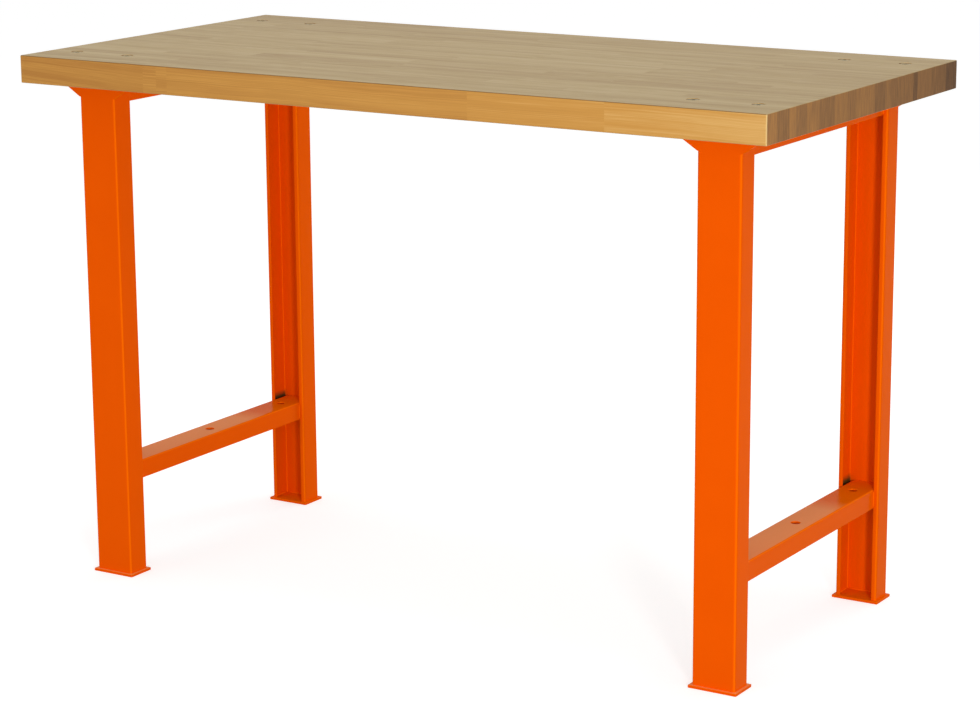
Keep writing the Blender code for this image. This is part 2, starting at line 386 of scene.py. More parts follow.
@dataclass
class Graph:
    """The node tree of a new material or world, put together socket by socket."""

    owner: bpy.types.Material | bpy.types.World

    def __post_init__(self) -> None:
        """Gives the owner the usual nodes, with a Principled shader in a material."""
        self.owner.use_nodes = True
        self.tree = self.owner.node_tree

    def feed(self, socket: Socket, value: Feed) -> None:
        """Links a socket to another, or sets its value.

        Args:
            socket: The input that is fed.
            value: An output, a number, a vector or an opaque colour.
        """
        if isinstance(value, Socket):
            self.tree.links.new(value, socket)
        elif socket.type == "RGBA":
            socket.default_value = (*value, 1.0)
        else:
            socket.default_value = value

    def add(
        self, kind: str, feeds: dict[str | int, Feed] | None = None, **settings: object
    ) -> bpy.types.Node:
        """Adds a node.

        Args:
            kind: The node's type, without its prefix.
            feeds: What goes into its inputs, by name or number.
            **settings: The node's own settings.

        Returns:
            The node.
        """
        node = self.tree.nodes.new(f"ShaderNode{kind}")
        for key, value in settings.items():
            setattr(node, key, value)
        for key, value in (feeds or {}).items():
            self.feed(node.inputs[key], value)
        return node

    def math(self, operation: str, *values: Feed) -> Socket:
        """A sum, product or other operation on numbers."""
        return self.add("Math", dict(enumerate(values)), operation=operation).outputs[0]

    def seen_directly(self) -> Socket:
        """Tells what the camera sees, also through a reflection, from what is only lit.

        Returns:
            One where a camera, glossy or transmission ray asks, and nought for the rest.
        """
        path = self.add("LightPath").outputs
        mirrored = self.math("MAXIMUM", path["Is Glossy Ray"], path["Is Transmission Ray"])
        return self.math("MAXIMUM", path["Is Camera Ray"], mirrored)

    def place(self) -> Socket:
        """The point on the piece, in metres."""
        return self.add("TexCoord").outputs["Object"]

    def normal(self) -> list[Socket]:
        """The three parts of the direction that the surface faces."""
        return self.split(self.add("NewGeometry").outputs["Normal"])

    def split(self, vector: Feed) -> list[Socket]:
        """A vector's or colour's three parts."""
        return list(self.add("SeparateXYZ", {0: vector}).outputs)

    def joined(self, *parts: Feed) -> Socket:
        """A vector from its three parts."""
        return self.add("CombineXYZ", dict(enumerate(parts))).outputs[0]

    def shifted(self, vector: Feed, other: Feed, times: float) -> Socket:
        """A vector plus another one times a number."""
        feeds = {0: other, 1: (times,) * 3, 2: vector}
        return self.add("VectorMath", feeds, operation="MULTIPLY_ADD").outputs[0]

    def noise(self, vector: Feed, marks: Marks) -> Socket:
        """Soft random marks over a point on a piece or in a log.

        Args:
            vector: The point, in metres.
            marks: How close together the marks lie, and how far they break up.

        Returns:
            A number from 0 to 1.
        """
        counted = self.add("VectorMath", {0: vector, 1: marks.per_metre}, operation="MULTIPLY").outputs[0]
        return self.add("TexNoise", {
            "Vector": counted,
            "Scale": 1.0,
            "Detail": marks.detail,
            "Roughness": marks.roughness,
        }).outputs[0]

    def cells(self, position: Feed, spread: float) -> Socket:
        """One random colour for each cell along a line. A spread from 0 to 1 makes the cells unequal."""
        feeds = {"W": position, "Scale": 1.0, "Randomness": spread}
        return self.add("TexVoronoi", feeds, voronoi_dimensions="1D").outputs["Color"]

    def random(self, number: Feed) -> Socket:
        """A random colour that is the same wherever the number is."""
        return self.add("TexWhiteNoise", {"W": number}, noise_dimensions="1D").outputs["Color"]

    def ramp(self, factor: Feed, stops: Sequence[tuple[float, Triple]], stepped: bool = False) -> Socket:
        """Colours along a scale from 0 to 1.

        Args:
            factor: The place on the scale.
            stops: Each stop's place and colour.
            stepped: Whether a colour holds until the next stop.

        Returns:
            The colour.
        """
        node = self.add("ValToRGB", {0: factor})
        node.color_ramp.interpolation = "CONSTANT" if stepped else "LINEAR"
        elements = node.color_ramp.elements
        while len(elements) < len(stops):
            elements.new(0.5)
        for element, (position, colour) in zip(elements, stops):
            element.position = position
            element.color = (*colour, 1.0)
        return node.outputs[0]

    def mixed(self, factor: Feed, first: Feed, second: Feed) -> Socket:
        """Two colours, blended by a factor."""
        return self.add("Mix", {0: factor, 6: first, 7: second}, data_type="RGBA").outputs[2]

    def ranged(self, value: Feed, start: Span = RISING, stop: Span = RISING) -> Socket:
        """A value carried from one range to another, and kept inside it."""
        feeds = {0: value, 1: start[0], 2: start[1], 3: stop[0], 4: stop[1]}
        return self.add("MapRange", feeds).outputs[0]

    def between(self, value: Feed, rise: Span, fall: Span) -> Socket:
        """One between two limits and nought outside them, with a straight slope over either."""
        return self.math("MULTIPLY", self.ranged(value, rise), self.ranged(value, fall, FALLING))

    def bump(self, height: Feed, distance: float, strength: float) -> None:
        """Raises the surface by a height from 0 to 1."""
        feeds = {"Height": height, "Distance": distance, "Strength": strength}
        self.shade(normal=self.add("Bump", feeds).outputs[0])

    def shade(self, **inputs: Feed) -> bpy.types.Material:
        """Sets the shader's inputs, whose names are written with underscores.

        Args:
            **inputs: A value or a socket for each input.

        Returns:
            The material.
        """
        sockets = self.tree.nodes["Principled BSDF"].inputs
        names = {name.lower().replace(" ", "_"): name for name in sockets.keys()}
        for key, value in inputs.items():
            self.feed(sockets[names[key]], value)
        return self.owner


@dataclass(frozen=True)
class Figure:
    """How strongly each kind of mark shows on one of the wood's faces, about a middle tone."""

    middle: float
    weights: dict[str, float]

    def tone(self, graph: Graph, marks: dict[str, Socket]) -> Socket:
        """The middle plus, for each mark, its weight times its distance from one half.

        Args:
            graph: The finish's node tree.
            marks: Every mark of the wood, from 0 to 1.

        Returns:
            The tone.
        """
        total: Feed = self.middle - sum(self.weights.values()) / 2
        for name, weight in self.weights.items():
            total = graph.math("MULTIPLY_ADD", marks[name], weight, total)
        return total


@dataclass(frozen=True)
class LaminatedBeech:
    """Edge-glued beech under satin lacquer.

    Staves lie side by side along Y, and each is made of blocks joined end to end along X. A stave
    has its own tone, and a block its own tone, lean of grain and place in the log. The marks along
    the grain are noises drawn out along X. The front edge grows calmer and paler to the right, the
    rear edge's blocks are nearly alike, and the end grain darkens to the rear. A stave is written as
    where it starts and its tone, and a block of the front one as its start, tone and lean.
    """

    ALONG_GRAIN: ClassVar[dict[str, Marks]] = {
        "bands": Marks((1.6, 55.0, 55.0), 3.0, 0.55),
        "streaks": Marks((7.0, 230.0, 260.0), 4.0, 0.65),
        "fibres": Marks((12.0, 900.0, 900.0), 2.0, 0.6),
        "flecks": Marks((90.0, 900.0, 420.0), 1.0),
        "lines": Marks((1.5, 60.0, 700.0), 1.0),
    }

    staves: tuple[Span, ...] = (
        (-0.375, 0.63), (-0.342, 0.36), (-0.297, 0.66), (-0.275, 0.44), (-0.236, 0.58), (-0.190, 0.40),
        (-0.130, 0.61), (-0.080, 0.48), (-0.047, 0.64), (0.025, 0.38), (0.069, 0.60), (0.091, 0.46),
        (0.137, 0.52), (0.182, 0.14), (0.200, 0.54), (0.262, 0.42), (0.325, 0.14),
    )
    front_blocks: tuple[Triple, ...] = (
        (-0.750, 0.39, 0.78), (-0.469, 0.44, 0.55), (-0.445, 0.43, 0.50),
        (-0.421, 0.47, 0.52), (0.200, 0.53, 0.47), (0.461, 0.57, 0.50),
    )
    block_length: float = 0.42
    block_spread: float = 0.8
    blocks_apart: float = 97.0
    logs_apart: float = 3.0
    rings_apart: float = 5.0

    wander: Marks = Marks((4.0, 9.0, 9.0))
    wander_reach: Span = (-0.006, 0.006)
    grain_slope: Span = (-0.08, 0.08)
    fleck_step: Span = (0.62, 0.72)
    rings: Marks = Marks((0.0, 330.0, 24.0), 3.0, 0.6)
    pores: Marks = Marks((0.0, 1500.0, 1500.0))
    on_face: Figure = Figure(
        0.37,
        {"bands": 0.75, "streaks": 0.62, "fibres": 0.22, "flecks": -0.06, "block": 0.20, "stave": 0.28},
    )
    on_edge: Figure = Figure(0.0, {"bands": 0.45, "streaks": 0.25, "fibres": 0.15, "lines": 0.40})
    on_end: Figure = Figure(0.495, {"stave": 0.50, "rings": 0.60, "pores": 0.24})
    relief: Figure = Figure(0.5, {"fibres": 0.6, "streaks": 0.4})
    relief_height: float = 0.0003
    relief_strength: float = 0.22

    edge_contrast: Span = (1.6, 0.65)
    edge_drift: Span = (-0.10, 0.05)
    rear_edge_tones: Span = (0.31, 0.66)
    end_drift: Span = (0.08, -0.08)
    tone_stops: Triple = (0.15, 0.5, 0.85)
    # The top face's tones are the wood's own with part of its white sheen painted in, a painted reflection
    # that makes them paler and greyer than the edge's.
    face_tones: tuple[Triple, ...] = ((0.390, 0.262, 0.115), (0.489, 0.361, 0.172), (0.546, 0.428, 0.235))
    edge_tones: tuple[Triple, ...] = ((0.46, 0.205, 0.048), (0.600, 0.298, 0.070), (0.79, 0.514, 0.197))
    end_tones: tuple[Triple, ...] = ((0.115, 0.068, 0.042), (0.285, 0.147, 0.062), (0.53, 0.250, 0.075))
    facing_step: Span = (0.70, 0.90)
    arris_step: Span = (0.12, 0.40)
    # The arrises between the top and the edges are darkened.
    arris_dark: Triple = (0.16, 0.075, 0.022)
    arris_share: Span = (0.0, 0.75)
    # Painted highlight: the paler colour of the upright corners between the edges and the ends.
    painted_corner_highlight: Triple = (0.86, 0.62, 0.27)
    corner_share: Span = (0.0, 0.55)

    streak_step: Span = (0.25, 0.75)
    roughness: Span = (0.48, 0.36)
    end_roughness: float = 0.35
    refraction: float = 1.12

    def blocks(self, graph: Graph, x: Socket, y: Socket) -> tuple[Socket, Socket, Socket]:
        """Lays out the staves and their blocks.

        The staves' tones are steps across the worktop, and the front stave's blocks are steps along it.
        Every other stave is cut into unequal cells, which its tone sets off from its neighbours'.

        Args:
            graph: The finish's node tree.
            x: The place along the worktop.
            y: The place across it.

        Returns:
            The stave's tone, the block's colour, and one in the front stave or nought behind it.
        """
        low, high = CAD_BOX
        stave_stops = [((start - low.y) / (high.y - low.y), (tone,) * 3) for start, tone in self.staves]
        block_stops = [
            ((start - low.x) / (high.x - low.x), (tone, lean, tone))
            for start, tone, lean in self.front_blocks
        ]
        stave = graph.split(graph.ramp(graph.ranged(y, (low.y, high.y)), stave_stops, stepped=True))[0]
        set_off = graph.math("MULTIPLY", stave, self.blocks_apart)
        run = graph.math("MULTIPLY_ADD", x, 1 / self.block_length, set_off)
        front_block = graph.ramp(graph.ranged(x, (low.x, high.x)), block_stops, stepped=True)
        in_front = graph.math("LESS_THAN", y, self.staves[1][0])
        return stave, graph.mixed(in_front, graph.cells(run, self.block_spread), front_block), in_front

    def grain(self, graph: Graph, place: Socket, block: Socket) -> Socket:
        """The point in the log that a point on the worktop was sawn from.

        It rises along X by the slope of the block's grain, wanders a little, and lies in another part
        of the log for each block.

        Args:
            graph: The finish's node tree.
            place: The point on the worktop.
            block: The block's colour.

        Returns:
            The point in the log.
        """
        x, y, z = graph.split(place)
        wander = graph.ranged(graph.noise(place, self.wander), stop=self.wander_reach)
        slope = graph.ranged(graph.split(block)[1], stop=self.grain_slope)
        risen = graph.math("ADD", graph.math("MULTIPLY_ADD", x, slope, z), wander)
        return graph.shifted(graph.joined(x, graph.math("ADD", y, wander), risen), block, self.logs_apart)

    def coloured(self, graph: Graph, tone: Socket, colours: tuple[Triple, ...]) -> Socket:
        """The colour of a tone, from a dark one over a middle one to a pale one."""
        return graph.ramp(tone, list(zip(self.tone_stops, colours)))

    def material(self) -> bpy.types.Material:
        """Builds the finish.

        Returns:
            The material.
        """
        graph = Graph(bpy.data.materials.new("laminated_beech"))
        low, high = CAD_BOX
        place = graph.place()
        x, y, _ = graph.split(place)
        stave, block, in_front = self.blocks(graph, x, y)
        grain = self.grain(graph, place, block)
        marks = {name: graph.noise(grain, kind) for name, kind in self.ALONG_GRAIN.items()}
        marks["flecks"] = graph.ranged(marks["flecks"], self.fleck_step)
        elsewhere = graph.shifted(place, graph.random(stave), self.rings_apart)
        marks["rings"] = graph.noise(elsewhere, self.rings)
        marks["pores"] = graph.noise(place, self.pores)
        marks["stave"] = stave
        marks["block"] = graph.split(block)[0]

        contrast = graph.ranged(x, (low.x, high.x), self.edge_contrast)
        drift = graph.ranged(x, (self.front_blocks[-2][0], high.x), self.edge_drift)
        calm = graph.ranged(marks["block"], stop=self.rear_edge_tones)
        edge_middle = graph.math("ADD", graph.mixed(in_front, calm, marks["block"]), drift)
        edge_tone = graph.math("MULTIPLY_ADD", self.on_edge.tone(graph, marks), contrast, edge_middle)
        end_middle = graph.ranged(y, (low.y, high.y), self.end_drift)
        end_tone = graph.math("ADD", self.on_end.tone(graph, marks), end_middle)
        face = self.coloured(graph, self.on_face.tone(graph, marks), self.face_tones)
        edge = self.coloured(graph, edge_tone, self.edge_tones)
        end = self.coloured(graph, end_tone, self.end_tones)

        normal = graph.normal()
        over_end, over_edge = (graph.math("ABSOLUTE", part) for part in normal[:2])
        over_face = graph.math("MAXIMUM", normal[2], 0.0)
        at_end = graph.ranged(over_end, self.facing_step)
        colour = graph.mixed(graph.ranged(over_edge, self.facing_step), face, edge)
        colour = graph.mixed(at_end, colour, end)
        # Darkens the top arrises, and paints a highlight on the upright corners between edges and ends.
        for other, share, line_colour in (
            (over_face, self.arris_share, self.arris_dark),
            (over_end, self.corner_share, self.painted_corner_highlight),
        ):
            rounded = graph.math("MULTIPLY", other, over_edge)
            colour = graph.mixed(graph.ranged(rounded, self.arris_step, share), colour, line_colour)

        satin = graph.ranged(marks["streaks"], self.streak_step, self.roughness)
        graph.bump(self.relief.tone(graph, marks), self.relief_height, self.relief_strength)
        return graph.shade(
            base_color=colour,
            roughness=graph.math("MULTIPLY_ADD", at_end, self.end_roughness, satin),
            ior=self.refraction,
        )


@dataclass(frozen=True)
class PowderCoat:
    """Semi-gloss powder coat, with a faint orange peel and a slightly uneven film.

    Folds, edges and weld beads are painted paler, a painted highlight. Faces that look up are
    painted paler too, a painted sheen that fades out before a rear post. Beside a stretcher's side
    inside a post the colour is darkened, fading out a little above and below the stretcher.
    """

    colour: Triple = (0.89, 0.100, 0.0)
    deep: Triple = (0.85, 0.090, 0.0)
    # Painted highlight: the paler colour of folds, edges and weld beads.
    painted_fold_highlight: Triple = (1.0, 0.160, 0.0)
    # The dark colour beside a stretcher's side inside a post.
    dark_beside_stretcher: Triple = (0.060, 0.038, 0.012)
    # Painted sheen: the paler colour of faces that look up, standing in for a reflection.
    painted_sheen: Triple = (0.95, 0.275, 0.095)
    bloom: Triple = (1.0, 0.55, 0.0)
    bloom_weight: float = 0.18
    bloom_roughness: float = 0.5
    film: Marks = Marks((14.0, 14.0, 14.0), 3.0)
    film_step: Span = (0.3, 0.7)
    roughness: Span = (0.17, 0.25)
    refraction: float = 1.055
    peel: Marks = Marks((520.0, 520.0, 520.0))
    peel_height: float = 0.0002
    peel_strength: float = 0.10
    fold_step: Span = (0.72, 0.97)
    level_step: Span = (0.90, 0.98)
    sheen_from_post: Span = (0.16, 0.10)
    recess_height: float = 0.012
    recess_slope: float = 0.001

    def recess(self, graph: Graph, place: Socket) -> Socket:
        """How dark the colour is made: 1 beside a stretcher inside a post, and 0 a little way above it.

        The distance from the stretcher's middle plane, from the post's lips and from the floor each
        give a soft step, and the steps are multiplied.

        Args:
            graph: The finish's node tree.
            place: The point on the piece.

        Returns:
            The share of the darkened colour.
        """
        x, y, z = graph.split(place)
        low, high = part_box(node_name(Side.RIGHT, "stretcher"))
        post_low, post_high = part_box(node_name(End.REAR, Side.RIGHT, "post"))
        slope = self.recess_slope
        lips = post_low.y + Post.sheet.thickness
        web = post_high.y - Post.sheet.thickness
        middle = (low.x + high.x) / 2
        half = post_high.x - Post.sheet.thickness - middle
        off_middle = graph.math("ABSOLUTE", graph.math("SUBTRACT", graph.math("ABSOLUTE", x), middle))
        depth = graph.math("ABSOLUTE", y)
        by_wall = (half - 3 * slope, half - slope)
        beside = graph.between(off_middle, by_wall, (half + slope, half + 2 * slope))
        inside = graph.between(depth, (lips, lips + slope), (web - slope, web + slope))
        under = (low.z - self.recess_height, low.z)
        level = graph.between(z, under, (high.z, high.z + self.recess_height))
        return graph.math("MULTIPLY", graph.math("MULTIPLY", beside, inside), level)

    def painted_sheen_share(self, graph: Graph, y: Socket, upward: Socket) -> Socket:
        """How much painted sheen the film takes: 1 on faces that look up, and 0 near and inside a rear
        post.

        Args:
            graph: The finish's node tree.
            y: The place from front to back.
            upward: The surface normal's part along Z.

        Returns:
            The share of painted sheen.
        """
        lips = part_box(node_name(End.REAR, Side.RIGHT, "post"))[0].y
        far, near = self.sheen_from_post
        clear = graph.ranged(y, (lips - far, lips - near), FALLING)
        return graph.math("MULTIPLY", graph.ranged(upward, self.level_step), clear)

    def material(self) -> bpy.types.Material:
        """Builds the finish.

        Returns:
            The material.
        """
        graph = Graph(bpy.data.materials.new("orange_powder_coat"))
        place = graph.place()
        film = graph.noise(place, self.film)
        normal = graph.normal()
        along, across, upward = (graph.math("ABSOLUTE", part) for part in normal)
        flatness = graph.math("MAXIMUM", graph.math("MAXIMUM", along, across), upward)
        coat = graph.mixed(film, self.deep, self.colour)
        # Painted highlight: folds, edges and weld beads are painted paler.
        coat = graph.mixed(graph.ranged(flatness, self.fold_step, FALLING), coat, self.painted_fold_highlight)
        # Painted sheen: faces that look up are painted paler, fading out before a rear post.
        coat = graph.mixed(self.painted_sheen_share(graph, graph.split(place)[1], normal[2]), coat, self.painted_sheen)
        graph.bump(graph.noise(place, self.peel), self.peel_height, self.peel_strength)
        return graph.shade(
            # Darkened beside a stretcher's side inside a post, fading out above and below it.
            base_color=graph.mixed(self.recess(graph, place), coat, self.dark_beside_stretcher),
            roughness=graph.ranged(film, self.film_step, self.roughness),
            ior=self.refraction,
            sheen_weight=self.bloom_weight,
            sheen_roughness=self.bloom_roughness,
            sheen_tint=self.bloom,
        )


@dataclass(frozen=True)
class BareMetal:
    """A metal surface with fine turning marks, brightest where it is rubbed.

    The glancing colour tints what it reflects when it is seen nearly edge on.
    """

    name: str
    colour: Triple
    rubbed: Triple
    roughness: Span
    glancing: Triple = WHITE
    cloud: Marks = Marks((260.0, 260.0, 260.0), 4.0, 0.6)
    rubbed_step: Span = (0.35, 0.75)
    rough_step: Span = (0.3, 0.7)
    turning: Marks = Marks((300.0, 300.0, 4000.0))
    turning_height: float = 0.00005
    turning_strength: float = 0.3

    def material(self) -> bpy.types.Material:
        """Builds the finish.

        Returns:
            The material.
        """
        graph = Graph(bpy.data.materials.new(self.name))
        place = graph.place()
        cloud = graph.noise(place, self.cloud)
        graph.bump(graph.noise(place, self.turning), self.turning_height, self.turning_strength)
        return graph.shade(
            base_color=graph.mixed(graph.ranged(cloud, self.rubbed_step), self.colour, self.rubbed),
            roughness=graph.ranged(cloud, self.rough_step, self.roughness),
            metallic=1.0,
            specular_tint=self.glancing,
        )


class Wardrobe:
    """The four finishes, one for each of the record's slots."""

    def __init__(self) -> None:
        """Builds every finish once."""
        finishes = {
            Slot.BEECH: LaminatedBeech(),
            Slot.ORANGE: PowderCoat(),
            Slot.DARK_STEEL: BareMetal(
                name="black_oxide",
                colour=(0.06, 0.06, 0.064),
                rubbed=(0.17, 0.17, 0.175),
                roughness=(0.34, 0.18),
                glancing=(1.0, 0.88, 0.60),
            ),
            Slot.ZINC: BareMetal(
                name="zinc_plate",
                colour=(0.38, 0.39, 0.40),
                rubbed=(0.52, 0.53, 0.54),
                roughness=(0.44, 0.28),
            ),
        }
        self.materials = {slot: finish.material() for slot, finish in finishes.items()}

    def dress(self, piece: bpy.types.Object, slot: Slot, *nodes: str) -> None:
        """Shades a piece, gives it its finish and puts it on the bench's body.

        Args:
            piece: The finished object.
            slot: The record's slot that its finish belongs to.
            *nodes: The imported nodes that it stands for.
        """
        piece.data.materials.clear()
        piece.data.materials.append(self.materials[slot])
        piece.data.shade_smooth()
        piece.data.set_sharp_from_angle(angle=SHARP_ANGLE)
        weighted = piece.modifiers.new("flat_faces_stay_flat", "WEIGHTED_NORMAL")
        weighted.keep_sharp = True
        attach(piece, BODY)
        if nodes:
            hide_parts(*nodes)
        LOG.info("%s: %d points, %d faces", piece.name, len(piece.data.vertices), len(piece.data.polygons))


# The bench


@dataclass
class Worktop:
    """The glued panel, with eased arrises and a countersunk bore at each bolt."""

    wardrobe: Wardrobe
    arris: float = 0.0016
    corner: float = 0.0024
    clearance: float = 0.0004

    def bore(self, bolt: str) -> Surface:
        """The volume that one bolt's bore takes out of the panel.

        A profile is turned about the bolt's axis, and its cone narrows by as much as it falls.

        Args:
            bolt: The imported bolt's name.

        Returns:
            A shaft with a cone under a wide mouth, all a clearance larger than the bolt.
        """
        low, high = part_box(bolt)
        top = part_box("worktop")[1].z
        head = (high.x - low.x) / 2 + self.clearance
        shank = BoltSizes.shank + self.clearance
        land = high.z - BoltSizes.land
        profile = [
            (shank, low.z),
            (shank, land - (head - shank)),
            (head, land),
            (head, top + CUT_MARGIN),
        ]
        middle = (low + high) / 2
        return turned(profile).moved((middle.x, middle.y, 0.0))

    def build(self) -> None:
        """Makes the panel, drills it and dresses it."""
        low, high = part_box("worktop")
        piece = slab(low, high, self.corner, self.arris).piece("worktop_panel")
        bolts = [node_name(end, side, ear, "bolt") for side in Side for end in End for ear in Ear]
        cut_away(piece, Surface.joined([self.bore(bolt) for bolt in bolts]))
        self.wardrobe.dress(piece, Slot.BEECH, "worktop")


@dataclass
class Fitting:
    """A piece of one end frame, at its front or its rear."""

    wardrobe: Wardrobe
    side: Side
    end: End

    def node(self, *words: Enum | str) -> str:
        """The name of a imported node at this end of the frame."""
        return node_name(self.end, self.side, *words)


@dataclass
class Post(Fitting):
    """A lipped C section with its web outwards, cut away at the head for the bracket's skirt."""

    sheet: Sheet = Sheet(0.003)
    lip: float = 0.009

    def build(self) -> None:
        """Folds the section, carries it up from the foot plate and notches its head."""
        name = self.node("post")
        low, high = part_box(name)
        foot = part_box(self.node("foot_plate"))[1].z
        seam = HeadBracket(self.wardrobe, self.side, self.end).seam()
        half = (high.x - low.x) / 2
        depth = high.y - low.y
        corners = [
            (self.lip - half, depth),
            (-half, depth),
            (-half, 0.0),
            (half, 0.0),
            (half, depth),
            (half - self.lip, depth),
        ]
        shell = carried(self.sheet.folded(corners), ALONG, ACROSS, foot, high.z)
        beyond = half + CUT_MARGIN
        behind = self.sheet.thickness + self.sheet.fold
        notch_low = Vector((-beyond, -CUT_MARGIN, seam))
        notch = slab(notch_low, Vector((beyond, behind, high.z + CUT_MARGIN)), CUT_MARGIN / 2, 0.0)
        piece = shell.stood(name, self.end).piece(f"{name}_section")
        cut_away(piece, notch.stood(name, self.end))
        self.wardrobe.dress(piece, Slot.ORANGE, name)


@dataclass
class FootPlate(Fitting):
    """The flat plate that a post stands on, with softened edges."""

    corner: float = 0.0015
    edge: float = 0.0008

    def build(self) -> None:
        """Makes the plate and dresses it."""
        name = self.node("foot_plate")
        low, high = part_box(name)
        piece = slab(low, high, self.corner, self.edge).piece(f"{name}_eased")
        self.wardrobe.dress(piece, Slot.ORANGE, name)


@dataclass
class HeadBracket(Fitting):
    """A plate with an ear on either side of the post, and a skirt that tapers to the post's width."""

    sheet: Sheet = Sheet(0.003)
    half_gap: float = 0.00015

    def seam(self) -> float:
        """The height where skirt and post meet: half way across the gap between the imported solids."""
        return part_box(self.node("top_bracket"))[0].z - self.half_gap

    def build(self) -> None:
        """Carries a flat bar along the plate, round the fold and down the skirt, drawing it in.

        At path point p with outward normal n, the bar's section point (u, v) lies at u along X and
        v inwards from p along n. Down the skirt its half width falls in a straight line to the post's.
        """
        name = self.node("top_bracket")
        low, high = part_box(name)
        post_low, post_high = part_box(self.node("post"))
        seam = self.seam()
        ear = (high.x - low.x) / 2
        foot = (post_high.x - post_low.x) / 2
        radius = self.sheet.fold + self.sheet.thickness
        fold = arc(np.array([radius, high.z - radius]), radius, np.array([0.0, 1.0]), np.array([-1.0, 0.0]))
        path = np.concatenate([[[high.y - low.y, high.z]], fold.points, [[0.0, seam]]])
        outward = np.concatenate([[[0.0, 1.0]], fold.normals, [[-1.0, 0.0]]])
        width = foot + (ear - foot) * (path[:, 1] - seam) / (high.z - seam)
        bar = rounded_rectangle((-1.0, 0.0), (1.0, self.sheet.thickness), self.sheet.edge).points
        beyond = bar[:, 0] - np.sign(bar[:, 0])
        u = np.sign(bar[:, 0]) * width[:, None] + beyond
        inward = path[:, None] - bar[None, :, 1:] * outward[:, None]
        rings = np.concatenate([-u[..., None], inward], axis=2)
        piece = Surface.lofted(rings).stood(name, self.end).piece(f"{name}_folded")
        self.wardrobe.dress(piece, Slot.ORANGE, name)


@dataclass
class CrossRail:
    """An inverted U section from the front post to the rear one, with or without shelf holes."""

    wardrobe: Wardrobe
    name: str
    holes: tuple[float, ...] = ()
    sheet: Sheet = Sheet(0.0025)
    hole_radius: float = 0.0085
    hole_edge: float = 0.0008

    def drill(self, top: float) -> Surface:
        """The volume of one shelf hole.

        The mouth flares by a quarter circle: at angle a it is edge * (1 - cos a) wider and
        edge * (1 - sin a) below the top.

        Args:
            top: The height of the rail's top face.

        Returns:
            A shaft with a flared mouth, on the Z axis.
        """
        wider = self.hole_edge * (1 - np.cos(QUARTER))
        lower = self.hole_edge * (1 - np.sin(QUARTER))
        flare = np.stack([self.hole_radius + wider, top - lower], axis=1)
        below = (self.hole_radius, top - self.sheet.thickness - CUT_MARGIN)
        above = (self.hole_radius + self.hole_edge, top + CUT_MARGIN)
        return turned(np.concatenate([[below], flare, [above]]))

    def build(self) -> None:
        """Folds the section, carries it from front to rear, drills it and dresses it."""
        low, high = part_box(self.name)
        half = (high.x - low.x) / 2
        middle = (low.x + high.x) / 2
        corners = [(half, low.z), (half, high.z), (-half, high.z), (-half, low.z)]
        shell = carried(self.sheet.folded(corners), ALONG, UP, low.y, high.y)
        piece = shell.moved((middle, 0.0, 0.0)).piece(f"{self.name}_section")
        if self.holes:
            hole = self.drill(high.z)
            cut_away(piece, Surface.joined([hole.moved((middle, y, 0.0)) for y in self.holes]))
        self.wardrobe.dress(piece, Slot.ORANGE, self.name)


